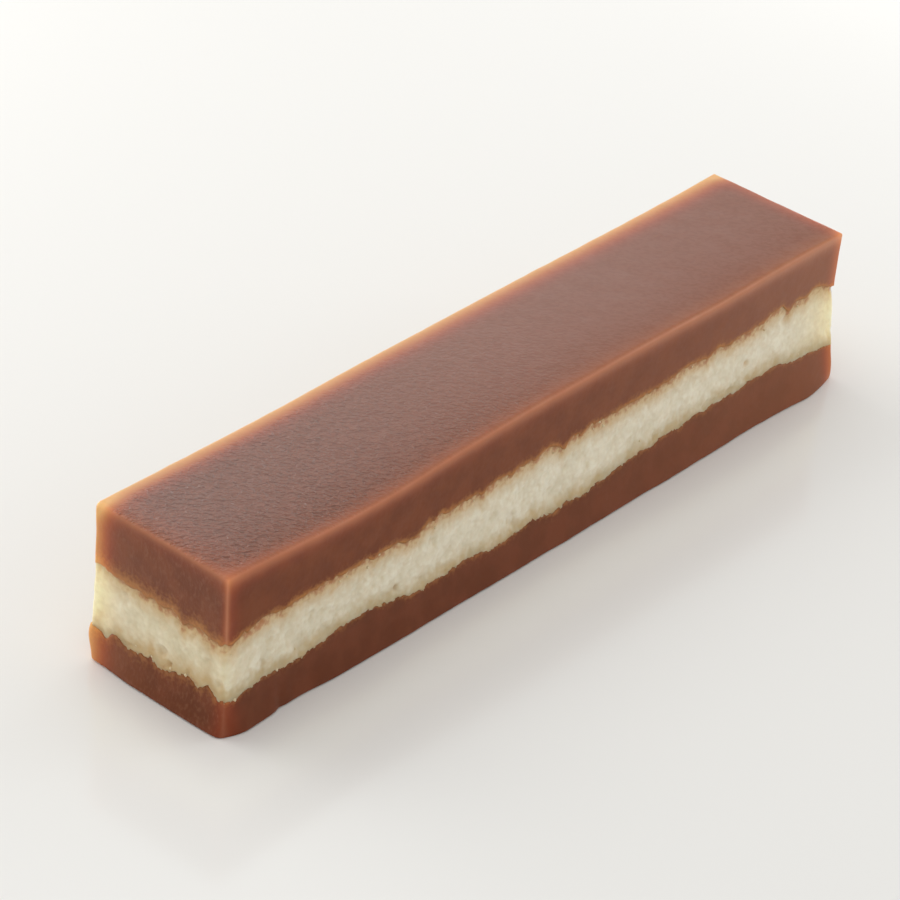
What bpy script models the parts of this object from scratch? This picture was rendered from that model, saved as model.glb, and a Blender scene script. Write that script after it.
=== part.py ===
"""A bar of uiro in three layers: brown steamed rice cake over and under a band of pale crumb cake.

Metres, +Z up. The bar's long side lies along X. It rests on z = 0 with the origin under its middle.
The layers are cut from one slumped block: square when it was cut, then a little wider at the foot.
"""

import math
from collections import namedtuple

import bmesh
import bpy
from mathutils import Vector, noise

MM = 0.001

# Driving dimensions of the block as it was cut
LENGTH = 134.4 * MM
WIDTH = 25.3 * MM
HEIGHT = 25.9 * MM
EDGE_RADIUS = 0.8 * MM
TOP_RADIUS = 1.2 * MM
FOOT_RADIUS = 0.4 * MM
JOINT_GAP = 0.3 * MM

# How far the soft block has spread at its foot, and drawn in over it, since. It is drawn in more
# towards its right end, whose lower half leans out. The foot is tucked in at its four corners.
FRONT_SPREAD = 1.75 * MM
BACK_SPREAD = 0.9 * MM
END_SPREAD = 1.1 * MM
WAIST = 0.25 * MM
WAIST_LEAN = 0.15 * MM
WAVER = 0.18 * MM
FRONT_LEAN = 0.45 * MM
END_LEAN = 0.35 * MM
TUCK = 0.7 * MM

# How sharply the spread grows towards the floor, how far up the waist sits, how close to a corner
# the spread lasts, and how far from the ends and corners the lean and the tuck begin
FOOT_POWER = 7
WAIST_POWER = 1.6
CORNER_POWER = 14
LEAN_POWER = 6
TUCK_POWER = 22

# The share of the spread that is lost at a corner, along a side and along an end
SIDE_CORNER_LOSS = 0.6
END_CORNER_LOSS = 0.5

# The share of the swells of the joints, and of the top's sinking, that is lost at the back
JOINT_BACK_LOSS = 0.75
SINK_BACK_LOSS = 0.35

# Segments of the lattice that each layer is bent from
SEGMENTS_LONG = 56
SEGMENTS_WIDE = 10
SEGMENTS_HIGH = 4

# Where the lattice has one more line on a rounded edge, as a share of its radius from the outline
RIM_LINE = 0.3
TOP_LINE = 0.35

# Edges of the finished surface that turn by more than this stay sharp
SHARP_TURN = math.radians(50)

# Wave lengths of the uneven outline and of the crumbs that dent the joints between layers
WAVER_LENGTH = 17.0 * MM
CRUMB_LENGTH = 5.2 * MM
CRUMB_RISE = 0.55 * MM
DRIFT_LENGTH = 26.0 * MM
DRIFT_RISE = 0.5 * MM

# Which stretch of the noise each uneven surface is read from
LOWER_SEED = 2.1
UPPER_SEED = 5.8
CRUMB_SEED = 7.3
SIDE_SEED = 11.0
END_SEED = 21.0

# A swell lifts a joint, or sinks the top, around one place along the bar
Swell = namedtuple("Swell", "place reach rise")

LOWER_JOINT = 5.55 * MM
LOWER_SWELLS = (
    Swell(-65.5 * MM, 2.2 * MM, -0.5 * MM),
    Swell(-42 * MM, 10.5 * MM, 1.4 * MM),
    Swell(-29.5 * MM, 2.5 * MM, -0.5 * MM),
    Swell(9.5 * MM, 4.5 * MM, -0.75 * MM),
    Swell(39 * MM, 25 * MM, 2.1 * MM),
    Swell(51 * MM, 6 * MM, 0.9 * MM),
)

UPPER_JOINT = 15.9 * MM
UPPER_SWELLS = (
    Swell(-67 * MM, 5 * MM, -1.3 * MM),
    Swell(-30.5 * MM, 3 * MM, -1.5 * MM),
    Swell(-3 * MM, 12 * MM, 0.5 * MM),
    Swell(2.5 * MM, 1.6 * MM, -0.8 * MM),
    Swell(34 * MM, 9 * MM, 0.9 * MM),
    Swell(56 * MM, 10 * MM, 1.7 * MM),
)

TOP_SWELLS = (
    Swell(-36 * MM, 18 * MM, -0.75 * MM),
    Swell(35 * MM, 10 * MM, -0.3 * MM),
)

# Where the front foot bulges or has been pulled in a little, and the same for the left end's foot
FOOT_SWELLS = (
    Swell(-64.5 * MM, 3 * MM, 0.75 * MM),
    Swell(-53 * MM, 5 * MM, -0.7 * MM),
    Swell(3 * MM, 4 * MM, 0.18 * MM),
    Swell(26 * MM, 4 * MM, 0.2 * MM),
    Swell(47 * MM, 7 * MM, -0.2 * MM),
    Swell(60 * MM, 3.5 * MM, 0.4 * MM),
)
LEFT_END_SWELLS = (Swell(10.5 * MM, 4.5 * MM, -0.7 * MM),)

# Each material is a colour and a roughness
Finish = namedtuple("Finish", "colour roughness")
BROWN_UIRO = Finish((0.21, 0.095, 0.055, 1.0), 0.38)
PALE_CRUMB = Finish((0.66, 0.57, 0.38, 1.0), 0.9)


def clear_scene():
    """Remove every object that the file opened with."""
    for item in list(bpy.data.objects):
        bpy.data.objects.remove(item, do_unlink=True)


def swelling(swells, x):
    """The sum of the swells at one place along the bar."""
    return sum(s.rise * math.exp(-(((x - s.place) / s.reach) ** 2)) for s in swells)


def unevenness(x, y, wave_length, seed):
    """A smooth random height from about -1 to 1, the same on each run."""
    return noise.noise(Vector((x / wave_length, y / wave_length, seed)))


def joint_height(level, swells, x, y, seed):
    """The height of a joint between layers, which is not seen inside the bar but runs through it."""
    toward_back = 0.5 + y / WIDTH
    kept = 1.0 - JOINT_BACK_LOSS * toward_back
    drift = DRIFT_RISE * toward_back * unevenness(x, y, DRIFT_LENGTH, seed)
    crumbs = CRUMB_RISE * unevenness(x, y, CRUMB_LENGTH, seed + CRUMB_SEED)
    return level + kept * swelling(swells, x) + drift + crumbs


def lower_joint(x, y):
    return joint_height(LOWER_JOINT, LOWER_SWELLS, x, y, LOWER_SEED)


def upper_joint(x, y):
    return joint_height(UPPER_JOINT, UPPER_SWELLS, x, y, UPPER_SEED)


def edge_stations(span, segments):
    """Places across a span, centred on 0, with two narrow segments over each rounded edge."""
    half = span / 2
    inner = segments - 4
    run = span - 2 * EDGE_RADIUS
    middle = [-half + EDGE_RADIUS + run * i / inner for i in range(inner + 1)]
    rim = [half - RIM_LINE * EDGE_RADIUS, half]
    return [-place for place in reversed(rim)] + middle + rim


def rounded(point):
    """Draw a point of the square block in, so that the block's outer edges turn round."""
    core = Vector(
        (
            max(-LENGTH / 2 + EDGE_RADIUS, min(LENGTH / 2 - EDGE_RADIUS, point.x)),
            max(-WIDTH / 2 + EDGE_RADIUS, min(WIDTH / 2 - EDGE_RADIUS, point.y)),
            max(FOOT_RADIUS, min(HEIGHT - TOP_RADIUS, point.z)),
        )
    )
    out = point - core
    reach = Vector((EDGE_RADIUS, EDGE_RADIUS, TOP_RADIUS if out.z > 0 else FOOT_RADIUS))
    share = Vector(part / limit for part, limit in zip(out, reach))
    if share.length == 0:
        return point
    return core + out * (max(abs(part) for part in share) / share.length)


def slumped(point):
    """Spread the foot of the block, draw in its waist, and sink its top where it is thin."""
    along = point.x / (LENGTH / 2)
    across = point.y / (WIDTH / 2)
    up = point.z / HEIGHT
    foot = (1 - up) ** FOOT_POWER
    waist = (WAIST + WAIST_LEAN * along) * math.sin(math.pi * up**WAIST_POWER)
    lean = max(along, 0.0) ** LEAN_POWER * (1 - up**2)
    tuck = TUCK * foot**3 * (along * across) ** TUCK_POWER
    side_spread = FRONT_SPREAD + swelling(FOOT_SWELLS, point.x) if across < 0 else BACK_SPREAD
    end_spread = END_SPREAD + (swelling(LEFT_END_SWELLS, point.y) if along < 0 else 0.0)
    side_lean = FRONT_LEAN * lean if across < 0 else 0.0
    side_out = side_spread * foot * (1 - SIDE_CORNER_LOSS * along**CORNER_POWER) + side_lean - tuck
    end_out = end_spread * foot * (1 - END_CORNER_LOSS * across**CORNER_POWER) + END_LEAN * lean - tuck
    waver_y = WAVER * unevenness(point.x, point.z, WAVER_LENGTH, SIDE_SEED + round(across))
    waver_x = WAVER * unevenness(point.y, point.z, WAVER_LENGTH, END_SEED + round(along))
    sink = swelling(TOP_SWELLS, point.x) * up**3 * (1 - SINK_BACK_LOSS * (across + 1) / 2)
    return Vector(
        (
            point.x + along * (end_out - waist + waver_x),
            point.y + across * (side_out - waist + waver_y),
            point.z + sink,
        )
    )


def bottom_heights(x, y):
    """Heights of the lattice's levels in the lower brown layer."""
    ceiling = lower_joint(x, y) - JOINT_GAP / 2
    rise = ceiling - FOOT_RADIUS
    return [0.0, FOOT_RADIUS, FOOT_RADIUS + 0.25 * rise, FOOT_RADIUS + 0.6 * rise, ceiling]


def crumb_heights(x, y):
    """Heights of the lattice's levels in the pale layer."""
    floor = lower_joint(x, y) + JOINT_GAP / 2
    ceiling = upper_joint(x, y) - JOINT_GAP / 2
    return [floor + (ceiling - floor) * i / SEGMENTS_HIGH for i in range(SEGMENTS_HIGH + 1)]


def top_heights(x, y):
    """Heights of the lattice's levels in the upper brown layer."""
    floor = upper_joint(x, y) + JOINT_GAP / 2
    ceiling = HEIGHT - TOP_RADIUS
    return [floor, (floor + ceiling) / 2, ceiling, HEIGHT - TOP_LINE * TOP_RADIUS, HEIGHT]


def lattice_box(segments):
    """A unit cube whose faces are cut into a grid of quads."""
    mesh = bmesh.new()
    bmesh.ops.create_cube(mesh, size=1.0)
    for axis, count in enumerate(segments):
        along = [e for e in mesh.edges if abs((e.verts[0].co - e.verts[1].co)[axis]) > 0.5]
        bmesh.ops.subdivide_edges(mesh, edges=along, cuts=count - 1, use_grid_fill=True)
    return mesh


def make_material(name, finish):
    """A Principled material of one colour and roughness."""
    material = bpy.data.materials.new(name)
    material.use_nodes = True
    shader = material.node_tree.nodes["Principled BSDF"]
    shader.inputs["Base Color"].default_value = finish.colour
    shader.inputs["Roughness"].default_value = finish.roughness
    material.diffuse_color = finish.colour
    return material


def make_layer(name, heights, finish, collection):
    """One layer of the block, bent from a lattice whose levels stand at the given heights."""
    segments = (SEGMENTS_LONG, SEGMENTS_WIDE, SEGMENTS_HIGH)
    places_long = edge_stations(LENGTH, SEGMENTS_LONG)
    places_wide = edge_stations(WIDTH, SEGMENTS_WIDE)
    box = lattice_box(segments)
    for vert in box.verts:
        i, j, k = (round((vert.co[axis] + 0.5) * segments[axis]) for axis in range(3))
        x, y = places_long[i], places_wide[j]
        vert.co = slumped(rounded(Vector((x, y, heights(x, y)[k]))))
    mesh = bpy.data.meshes.new(name)
    box.to_mesh(mesh)
    box.free()
    mesh.shade_smooth()
    mesh.set_sharp_from_angle(angle=SHARP_TURN)
    mesh.materials.append(make_material(name, finish))
    layer = bpy.data.objects.new(name, mesh)
    collection.objects.link(layer)
    return layer


def centre_on_origin(layers, collection):
    """Hang the layers from one empty that brings the middle of their outline over the origin."""
    xs = [vert.co.x for layer in layers for vert in layer.data.vertices]
    ys = [vert.co.y for layer in layers for vert in layer.data.vertices]
    holder = bpy.data.objects.new("bar_frame", None)
    holder.location = (-(min(xs) + max(xs)) / 2, -(min(ys) + max(ys)) / 2, 0.0)
    collection.objects.link(holder)
    for layer in layers:
        layer.parent = holder


def main():
    clear_scene()
    collection = bpy.data.collections.new("uiro")
    bpy.context.scene.collection.children.link(collection)
    layers = [
        make_layer("uiro_bottom", bottom_heights, BROWN_UIRO, collection),
        make_layer("crumb_middle", crumb_heights, PALE_CRUMB, collection),
        make_layer("uiro_top", top_heights, BROWN_UIRO, collection),
    ]
    centre_on_origin(layers, collection)


main()
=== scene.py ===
"""The looks of one bar of uiro: brown steamed rice cake over and under a band of pale crumb.

Lengths are in metres. The bar keeps the frame of its CAD part: the long side along X, resting on
z = 0, with the long cut side that the picture shows at -Y and its cut end at -X.
"""

import logging
import math
import random
from dataclasses import dataclass
from enum import Enum

import bmesh
import bpy
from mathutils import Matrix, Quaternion, Vector, noise


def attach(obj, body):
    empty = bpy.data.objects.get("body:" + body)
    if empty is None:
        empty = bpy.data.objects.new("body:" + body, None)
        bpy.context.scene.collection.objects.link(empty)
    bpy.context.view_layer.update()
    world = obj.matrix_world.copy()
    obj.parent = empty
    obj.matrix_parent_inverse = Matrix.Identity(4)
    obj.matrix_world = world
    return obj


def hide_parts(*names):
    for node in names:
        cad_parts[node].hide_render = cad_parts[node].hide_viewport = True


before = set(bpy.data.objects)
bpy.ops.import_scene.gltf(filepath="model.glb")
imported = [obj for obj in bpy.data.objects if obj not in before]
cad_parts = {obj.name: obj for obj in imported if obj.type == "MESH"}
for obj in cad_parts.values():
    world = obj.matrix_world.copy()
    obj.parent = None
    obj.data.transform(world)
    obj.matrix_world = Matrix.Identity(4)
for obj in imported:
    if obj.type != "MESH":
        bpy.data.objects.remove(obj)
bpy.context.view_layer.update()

LOG = logging.getLogger("uiro")
MM = 0.001
# What counts as on a wall of the unit cube, and as running level with it.
ON_WALL = 0.499
LEVEL = 0.001
# How far a packed grain reaches from its middle, as a share of the grains' size.
GRAIN_REACH = 0.75
# Where nearly all of the cloud noise of a shader lies.
NOISE_RANGE = (0.3, 0.7)
BROWN_MASKS = ("glow", "rim", "joint", "skin", "end", "sheen", "painted_light")
CRUMB_MASKS = ("stain", "painted_glow", "painted_shade")

Socket = bpy.types.NodeSocket
Source = Socket | float | tuple[float, ...]


def linear(colour: str) -> tuple[float, float, float, float]:
    """Turn an sRGB hex colour into the linear RGBA that a shader takes.

    Args:
        colour: Six hex digits after a hash.

    Returns:
        Linear red, green and blue, and an alpha of 1.
    """
    parts = [int(colour[i : i + 2], 16) / 255 for i in (1, 3, 5)]
    red, green, blue = (c / 12.92 if c <= 0.04045 else ((c + 0.055) / 1.055) ** 2.4 for c in parts)
    return (red, green, blue, 1.0)


def clamp(value: float, low: float = 0.0, high: float = 1.0) -> float:
    """Keep a value between two limits."""
    return max(low, min(high, value))


def fade(distance: float, reach: float) -> float:
    """A share that is 1 at no distance and dies away over the reach."""
    return math.exp(-max(distance, 0.0) / reach)


def bell(distance: float, reach: float) -> float:
    """A share that is 1 at no distance, holds near it and is gone at about twice the reach."""
    return math.exp(-((distance / reach) ** 2))


def rough(point: Vector, wave_length: float, seed: float) -> float:
    """Smooth noise from about -1 to 1 whose waves are about the given length."""
    return noise.noise(
        Vector((point.x / wave_length, point.y / wave_length, point.z / wave_length + seed))
    )


def domes(point: Vector, size: float, seed: float) -> float:
    """Packed round grains of one size: 1 at the middle of each and about 0 between them."""
    distances, _ = noise.voronoi(Vector((point.x / size, point.y / size, point.z / size + seed)))
    return 1 - min(distances[0] / GRAIN_REACH, 1.0) ** 2


def make_piece(
    name: str, mesh: bmesh.types.BMesh, material: bpy.types.Material
) -> bpy.types.Object:
    """Turn a finished bmesh into an object at the origin.

    Args:
        name: The piece's name.
        mesh: Its shape, which is freed.
        material: Its finish.

    Returns:
        The object, linked to the scene.
    """
    data = bpy.data.meshes.new(name)
    mesh.to_mesh(data)
    mesh.free()
    data.materials.append(material)
    piece = bpy.data.objects.new(name, data)
    bpy.context.scene.collection.objects.link(piece)
    LOG.info("%s: %d faces", name, len(data.polygons))
    return piece


class Slot(Enum):
    """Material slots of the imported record."""

    BROWN = "brown_uiro"
    CRUMB = "pale_crumb"


class Seed(float, Enum):
    """Offsets that give each use of the noise its own pattern."""

    LUMPS = 3.1
    DIMPLES = 4.0
    TEETH = 8.0
    SIDES = 11.0
    SWAY = 12.0
    CLUMPS = 13.0
    GRAINS = 17.0
    ENDS = 21.0
    FLUFF = 23.0
    TORN = 31.0
    SWELLS = 41.0
    PATCHES = 51.0
    FLECKS = 53.0
    HANGING = 61.0
    FRINGE = 67.0


@dataclass(frozen=True)
class Swell:
    """A rise or dip around one place along a line.

    Attributes:
        place: Where its middle is.
        reach: How far it spreads to each side.
        rise: Its height, negative for a dip.
    """

    place: float
    reach: float
    rise: float

    def at(self, along: float) -> float:
        """Its height at a place along the line."""
        return self.rise * bell(along - self.place, self.reach)


def swells(*rows: tuple[float, float, float]) -> tuple[Swell, ...]:
    """Make swells from millimetre rows of place, reach and rise."""
    return tuple(Swell(place * MM, reach * MM, rise * MM) for place, reach, rise in rows)


def swelling(group: tuple[Swell, ...], along: float) -> float:
    """The sum of a group of swells at one place."""
    return sum(swell.at(along) for swell in group)


@dataclass(frozen=True)
class BlockForm:
    """The slumped block that the three layers are cut from.

    It is the CAD part's, but for the top, which sinks a little more on the left half.

    Attributes:
        right_sharpness: How much of the edges' radius is lost at the right end.
        side_loss: How much of the foot's spread to the sides is lost at the corners.
        end_loss: How much of its spread to the ends is lost there.
        back_hold: How much of the top's sinking the back is spared.
    """

    length: float = 134.4 * MM
    width: float = 25.3 * MM
    height: float = 25.9 * MM
    edge_radius: float = 0.8 * MM
    top_radius: float = 1.2 * MM
    foot_radius: float = 0.4 * MM
    front_spread: float = 1.75 * MM
    back_spread: float = 0.9 * MM
    end_spread: float = 1.1 * MM
    front_lean: float = 0.45 * MM
    end_lean: float = 0.35 * MM
    tuck: float = 0.7 * MM
    waist: float = 0.25 * MM
    waist_lean: float = 0.15 * MM
    waver: float = 0.18 * MM
    waver_length: float = 17.0 * MM
    foot_power: int = 7
    waist_power: float = 1.6
    corner_power: int = 14
    lean_power: int = 6
    tuck_power: int = 22
    right_sharpness: float = 0.6
    side_loss: float = 0.6
    end_loss: float = 0.5
    back_hold: float = 0.68
    top_swells: tuple[Swell, ...] = swells((-38, 17, -0.95), (-40, 28, -0.42), (35, 10, -0.3))
    foot_swells: tuple[Swell, ...] = swells(
        (-64.5, 3, 0.75), (-53, 5, -0.7), (3, 4, 0.18), (26, 4, 0.2), (47, 7, -0.2),
        (60, 3.5, 0.4), (-56.5, 0.9, -0.3),
    )
    end_swells: tuple[Swell, ...] = swells((10.5, 4.5, -0.7))

    def rounded(self, point: Vector) -> tuple[Vector, Vector]:
        """Draw a point of the square block in so that its outer edges turn round.

        Args:
            point: A point in or on the square block.

        Returns:
            The point moved onto the rounded block, and the outward direction there, which has no
            length for a point inside.
        """
        crisp = 1 - self.right_sharpness * clamp(2 * point.x / self.length) ** self.lean_power
        radius, top_radius = self.edge_radius * crisp, self.top_radius * crisp
        core = Vector(
            (
                clamp(point.x, radius - self.length / 2, self.length / 2 - radius),
                clamp(point.y, radius - self.width / 2, self.width / 2 - radius),
                clamp(point.z, self.foot_radius, self.height - top_radius),
            )
        )
        out = point - core
        reach = (radius, radius, top_radius if out.z > 0 else self.foot_radius)
        share = Vector([part / limit for part, limit in zip(out, reach)])
        if share.length == 0:
            return point, Vector()
        return core + out * (max(abs(part) for part in share) / share.length), share.normalized()

    def slumped(self, point: Vector) -> Vector:
        """Spread the foot of the block, draw in its waist and sink its top where it is thin.

        Args:
            point: A point of the rounded block.

        Returns:
            Where it comes to stand.
        """
        along = point.x / (self.length / 2)
        across = point.y / (self.width / 2)
        up = point.z / self.height
        foot = max(1 - up, 0.0) ** self.foot_power
        bend = math.sin(math.pi * clamp(up) ** self.waist_power)
        waist = (self.waist + self.waist_lean * along) * bend
        front_spread = self.front_spread + swelling(self.foot_swells, point.x)
        left_spread = self.end_spread + swelling(self.end_swells, point.y)
        side_spread = front_spread if across < 0 else self.back_spread
        end_spread = left_spread if along < 0 else self.end_spread
        lean = max(along, 0.0) ** self.lean_power * (1 - up**2)
        tuck = self.tuck * foot**3 * (along * across) ** self.tuck_power
        side_out = side_spread * foot * (1 - self.side_loss * along**self.corner_power) - tuck
        side_out += self.front_lean * lean if across < 0 else 0.0
        end_out = end_spread * foot * (1 - self.end_loss * across**self.corner_power) - tuck
        end_out += self.end_lean * lean
        waver_y = self.unevenness(point.x, point.z, Seed.SIDES + math.copysign(1, across))
        waver_x = self.unevenness(point.y, point.z, Seed.ENDS + math.copysign(1, along))
        sink = swelling(self.top_swells, point.x) * up**3
        return Vector(
            (
                point.x + along * (end_out - waist + waver_x),
                point.y + across * (side_out - waist + waver_y),
                point.z + sink * (1 - self.back_hold * (across + 1) / 2),
            )
        )

    def unevenness(self, x: float, y: float, seed: float) -> float:
        """The slow waver of one side of the block."""
        flat = Vector((x / self.waver_length, y / self.waver_length, seed))
        return self.waver * noise.noise(flat)

    def gaps(self, point: Vector) -> dict[str, float]:
        """How far a point in the block is from each of its outer faces.

        Args:
            point: A point of the square block.

        Returns:
            The distance from each face but the foot.
        """
        return {
            "top": self.height - point.z,
            "front": point.y + self.width / 2,
            "back": self.width / 2 - point.y,
            "left": point.x + self.length / 2,
            "right": self.length / 2 - point.x,
        }


@dataclass(frozen=True)
class EdgeGlow:
    """Painted light along one outer edge: a glow painted into the colour for light that comes out
    of the cake, or a painted pale highlight on the rim.

    Attributes:
        faces: The two faces that meet there.
        strength: How strong the glow is at the edge itself.
        reach: How far it goes over the first face and over the second, in millimetres.
        fall: The share of it that is lost from the bar's left end to its right one.
    """

    faces: tuple[str, str]
    strength: float
    reach: tuple[float, float]
    fall: float = 0.0

    def at(self, gaps: dict[str, float]) -> float:
        """The glow at a point.

        Args:
            gaps: How far the point is from each outer face.

        Returns:
            The glow, from 0 to the strength.
        """
        first, second = (max(gaps[face], 0.0) / MM for face in self.faces)
        left = 1 - self.fall * gaps["left"] / (gaps["left"] + gaps["right"])
        spread = -((second / self.reach[0]) ** 2) - (first / self.reach[1]) ** 2
        return self.strength * left * math.exp(spread)


@dataclass(frozen=True)
class BrownLook:
    """How strongly the masks of a brown layer come out.

    Attributes:
        glows: The edges along which a glow is painted for light that comes out of the cake.
        rim_highlights: The edges with a painted pale highlight along the rim.
        glow_most: The most that any place glows.
        seam_most: How strongly the seam band shows at the crumb: partly stain, partly painted glow
            of the crumb's light in the brown.
        right_painted_light: How much painted light lightens the cut sides at the right end.
        back_painted_light: How much painted light lightens the ends at the back.
        corner_sheen: How glossy the front left arris is.
        top_sheen: How glossy the cut sides are by the top edge.
        end_sheen: How glossy the ends are.
    """

    glows: tuple[EdgeGlow, ...]
    rim_highlights: tuple[EdgeGlow, ...]
    glow_most: float
    seam_most: float
    right_painted_light: float
    back_painted_light: float
    corner_sheen: float
    top_sheen: float = 0.0
    end_sheen: float = 0.0


UPPER_LOOK = BrownLook(
    glows=(
        EdgeGlow(("front", "top"), 0.05, (1.9, 1.9), 0.7),
        EdgeGlow(("front", "top"), 0.075, (2.0, 0.35), 0.5),
        EdgeGlow(("left", "top"), 0.05, (2.0, 4.5)),
        EdgeGlow(("back", "top"), 0.63, (2.0, 2.55)),
        EdgeGlow(("right", "top"), 0.16, (1.5, 1.8)),
        EdgeGlow(("front", "left"), 0.1, (1.8, 0.9)),
        EdgeGlow(("left", "back"), 0.52, (2.5, 3.0)),
        EdgeGlow(("front", "right"), 0.17, (1.6, 1.4)),
        EdgeGlow(("back", "right"), 0.3, (2.0, 2.0)),
    ),
    rim_highlights=(
        EdgeGlow(("front", "top"), 0.33, (1.3, 0.5), -0.5),
        EdgeGlow(("front", "top"), 0.12, (1.3, 2.2), -0.6),
        EdgeGlow(("left", "top"), 0.3, (0.8, 0.6)),
        EdgeGlow(("left", "top"), 0.1, (1.0, 4.0)),
        EdgeGlow(("front", "left"), 0.5, (0.5, 0.5)),
        EdgeGlow(("front", "right"), 0.34, (1.4, 1.0)),
        EdgeGlow(("right", "top"), 0.08, (1.2, 1.2)),
    ),
    glow_most=0.62,
    seam_most=1.0,
    right_painted_light=0.65,
    back_painted_light=0.3,
    corner_sheen=0.5,
    top_sheen=0.7,
    end_sheen=0.12,
)

LOWER_LOOK = BrownLook(
    glows=(
        EdgeGlow(("front", "left"), 0.1, (2.0, 1.5)),
        EdgeGlow(("left", "back"), 0.53, (2.7, 3.0)),
        EdgeGlow(("front", "right"), 0.3, (1.8, 1.8)),
        EdgeGlow(("back", "right"), 0.4, (2.0, 2.0)),
    ),
    rim_highlights=(EdgeGlow(("front", "left"), 0.12, (0.5, 0.5)),),
    glow_most=0.55,
    seam_most=0.6,
    right_painted_light=0.45,
    back_painted_light=0.55,
    corner_sheen=0.2,
)


@dataclass(frozen=True)
class JointLine:
    """The ragged seam between two layers, which runs through the whole block.

    Attributes:
        level: Its mean height.
        broad: Slow swells along the bar, close to the CAD part's.
        front: Small rises and drips along the front side, by x.
        end: Small rises and drips along the left end, by y.
        lump_rise: How far the crumb's lumps push the seam, negative where they hang down.
        seed: Picks its own noise.
        teeth: The length and height of the fine torn teeth along it.
        calm: How much less ragged it is at the right end.
    """

    level: float
    broad: tuple[Swell, ...]
    front: tuple[Swell, ...]
    end: tuple[Swell, ...]
    lump_rise: float
    seed: float
    form: BlockForm = BlockForm()
    drift_length: float = 26.0 * MM
    drift_rise: float = 0.5 * MM
    detail_reach: float = 4.0 * MM
    lump_lengths: tuple[float, ...] = (2.3 * MM, 1.05 * MM, 0.5 * MM)
    lump_shares: tuple[float, ...] = (1.0, 0.5, 0.15)
    mean_lump: float = 0.42
    calm: float = 0.5
    teeth: tuple[tuple[float, float], ...] = ((1.2 * MM, 0.22 * MM), (0.6 * MM, 0.1 * MM))
    back_loss: float = 0.75
    sway: float = 0.35 * MM
    sway_length: float = 0.9 * MM

    def smooth_height(self, x: float, y: float) -> float:
        """The height of the seam without its lumps and teeth.

        Args:
            x: A place along the block.
            y: A place across it.

        Returns:
            The height over the board.
        """
        form = self.form
        toward_back = 0.5 + y / form.width
        drift = noise.noise(Vector((x / self.drift_length, y / self.drift_length, self.seed)))
        front = fade(y + form.width / 2, self.detail_reach)
        end = fade(x + form.length / 2, self.detail_reach)
        return (
            self.level
            + (1.0 - self.back_loss * toward_back) * swelling(self.broad, x)
            + self.drift_rise * toward_back * drift
            + front * swelling(self.front, x)
            + end * swelling(self.end, y)
        )

    def height(self, x: float, y: float) -> float:
        """The height of the seam with its lumps and teeth.

        Args:
            x: A place along the block.
            y: A place across it.

        Returns:
            The height over the board.
        """
        seed = self.seed
        sway = self.sway * rough(Vector((x, y, 0.0)), self.sway_length, seed + Seed.SWAY)
        x, y = x + sway, y + sway
        flat = Vector((x, y, 0.0))
        lump = sum(
            share * abs(rough(flat, length, seed + Seed.LUMPS + length / MM))
            for length, share in zip(self.lump_lengths, self.lump_shares)
        )
        teeth = sum(rise * rough(flat, length, seed + Seed.TEETH) for length, rise in self.teeth)
        raggedness = 1 - self.calm * clamp(0.5 + x / self.form.length) ** 2
        ragged = raggedness * (self.lump_rise * (lump - self.mean_lump) + teeth)
        return self.smooth_height(x, y) + ragged


UPPER_JOINT = JointLine(
    level=16.07 * MM,
    broad=swells(
        (-67, 5, -1.3), (-30.5, 3, -1.5), (-3, 12, 0.5), (2.5, 1.6, -0.8), (34, 9, 0.9),
        (56, 10, 1.7),
    ),
    front=swells(
        (-64, 0.8, 0.3), (-60.5, 0.8, -0.1), (-56, 1.0, -0.6), (-46.5, 0.5, -0.5), (-38, 0.8, -0.5),
        (-31.5, 2.2, 0.6), (-27, 1.0, 0.4), (-25.5, 0.4, -0.4), (-24, 0.7, 0.5), (-15.3, 0.6, -0.7),
        (-12, 0.8, 0.3), (-9, 0.5, -0.4), (-4, 0.6, -0.5), (-2, 1.0, 0.2), (0, 1.5, 0.35),
        (2.6, 0.5, -0.4), (4.3, 1.0, 0.1), (6.6, 0.6, -0.5), (8.7, 1.0, 0.4), (18, 5.0, 0.45),
        (24.5, 1.3, -0.1), (31, 1.5, 0.4), (36, 0.7, -0.4), (38.8, 1.2, 0.7), (44, 2.0, 0.35),
        (49.5, 1.3, -0.3), (51, 2.5, 0.4), (54, 0.8, 0.5), (56, 1.3, -1.1), (60, 1.2, -0.7),
        (62.5, 3.0, 1.1),
    ),
    end=swells(
        (3, 0.5, -0.1), (0, 0.8, -0.1), (-2.5, 1.2, 0.6), (-4.8, 0.9, -0.9), (-7.5, 1.0, 0.4),
        (-10, 1.1, -0.5), (1, 0.8, 0.5), (4.5, 1.5, 0.2), (9.5, 4.5, 0.15), (10.8, 1.4, 0.5),
    ),
    lump_rise=0.95 * MM,
    seed=5.8,
)

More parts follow.
